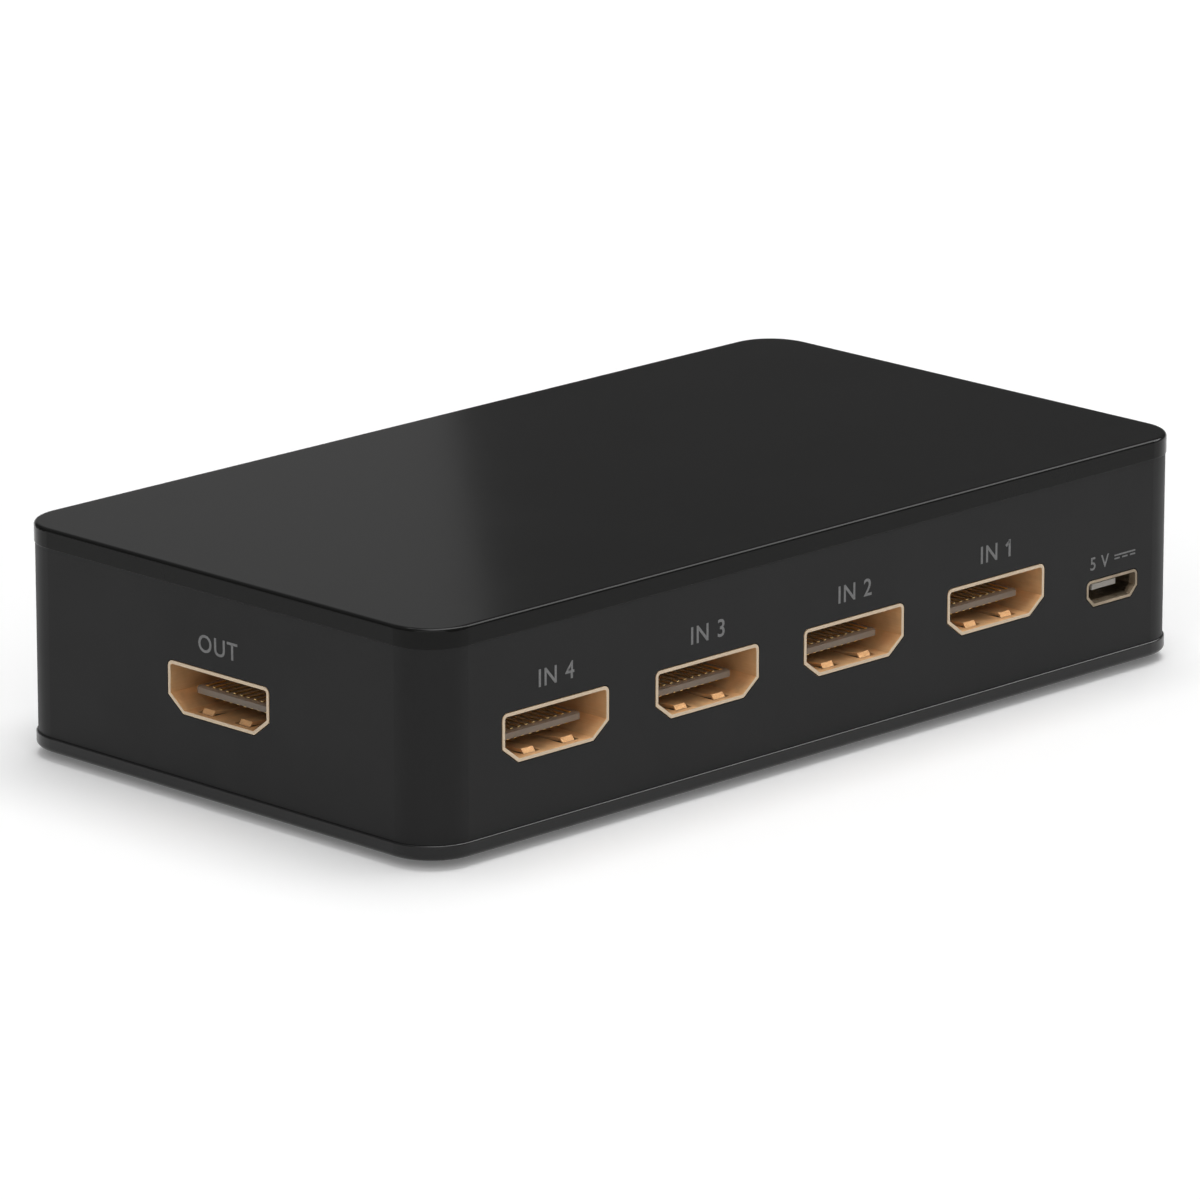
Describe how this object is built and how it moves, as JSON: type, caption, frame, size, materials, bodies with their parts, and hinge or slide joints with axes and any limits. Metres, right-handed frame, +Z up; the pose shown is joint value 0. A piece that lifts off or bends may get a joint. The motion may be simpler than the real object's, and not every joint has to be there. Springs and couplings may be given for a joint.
{
  "type": "video switch box",
  "caption": "Low black box with rounded corners, a row of video input sockets and a power inlet on a long side, a video output on one end, and a select button on the other long side.",
  "frame": {"origin": "centre of the box on the plane that the feet stand on", "axes": "+Z up, X along the long side; the inputs face -Y, the output faces -X, the controls face +Y"},
  "size_m": [0.1106, 0.0616, 0.0245],
  "materials": {
    "cover_plastic": "satin black moulding",
    "frame_plastic": "fine matt black moulding",
    "base_plastic": "fine matt black moulding",
    "foot_rubber": "soft black rubber",
    "screw_steel": "zinc plated",
    "board_laminate": "green solder mask",
    "chip_plastic": "black moulding",
    "can_metal": "drawn can",
    "capacitor_ceramic": "ceramic with plated ends",
    "socket_gold": "gold plated sheet",
    "socket_plastic": "dark grey insulator",
    "contact_gold": "gold plated contact",
    "inlet_plating": "dull plated sheet",
    "inlet_plastic": "grey insulator",
    "button_plastic": "satin black moulding",
    "tinned_steel": "tinned",
    "window_plastic": "dark infrared window",
    "power_lens": "red diffused lens",
    "input_lens": "blue diffused lens",
    "label_ink": "grey printing",
    "solder": "dull solder"
  },
  "bodies": {
    "housing": {"top_cover": "cover_plastic", "side_frame": "frame_plastic", "base_plate": "base_plastic", "rubber_feet": "foot_rubber", "case_screws": "screw_steel", "board_screws": "screw_steel", "main_board": "board_laminate", "switch_chip": "chip_plastic", "control_chip": "chip_plastic", "voltage_regulator": "chip_plastic", "crystal": "can_metal", "filter_capacitors": "can_metal", "chip_capacitors": "capacitor_ceramic", "chip_resistors": "chip_plastic", "line_guards": "chip_plastic", "output_shell": "socket_gold", "output_insulator": "socket_plastic", "output_contacts": "contact_gold", "input_1_shell": "socket_gold", "input_1_insulator": "socket_plastic", "input_1_contacts": "contact_gold", "input_2_shell": "socket_gold", "input_2_insulator": "socket_plastic", "input_2_contacts": "contact_gold", "input_3_shell": "socket_gold", "input_3_insulator": "socket_plastic", "input_3_contacts": "contact_gold", "input_4_shell": "socket_gold", "input_4_insulator": "socket_plastic", "input_4_contacts": "contact_gold", "power_inlet_shell": "inlet_plating", "power_inlet_insulator": "inlet_plastic", "power_inlet_contacts": "contact_gold", "switch_case": "chip_plastic", "switch_bracket": "tinned_steel", "switch_dome": "tinned_steel", "switch_pins": "tinned_steel", "remote_window": "window_plastic", "remote_receiver": "chip_plastic", "receiver_leads": "tinned_steel", "power_light": "power_lens", "input_light_1": "input_lens", "input_light_2": "input_lens", "input_light_3": "input_lens", "input_light_4": "input_lens", "light_leads": "tinned_steel"},
    "select_button": {"select_button": "button_plastic"},
    "switch_stem": {"switch_stem": "chip_plastic"}
  },
  "joints": [
    {"name": "select_button_press", "type": "slide", "parent": "housing", "child": "select_button", "axis": [0, -1, 0], "range_m": [0, 0.0003], "stiffness_N_per_m": 5000},
    {"name": "switch_stem_press", "type": "slide", "parent": "housing", "child": "switch_stem", "axis": [0, -1, 0], "range_m": [0, 0.0003], "deforming": ["switch_dome"]}
  ],
  "couplings": [
    {"joint": "switch_stem_press", "follows": "select_button_press", "ratio": 1}
  ]
}
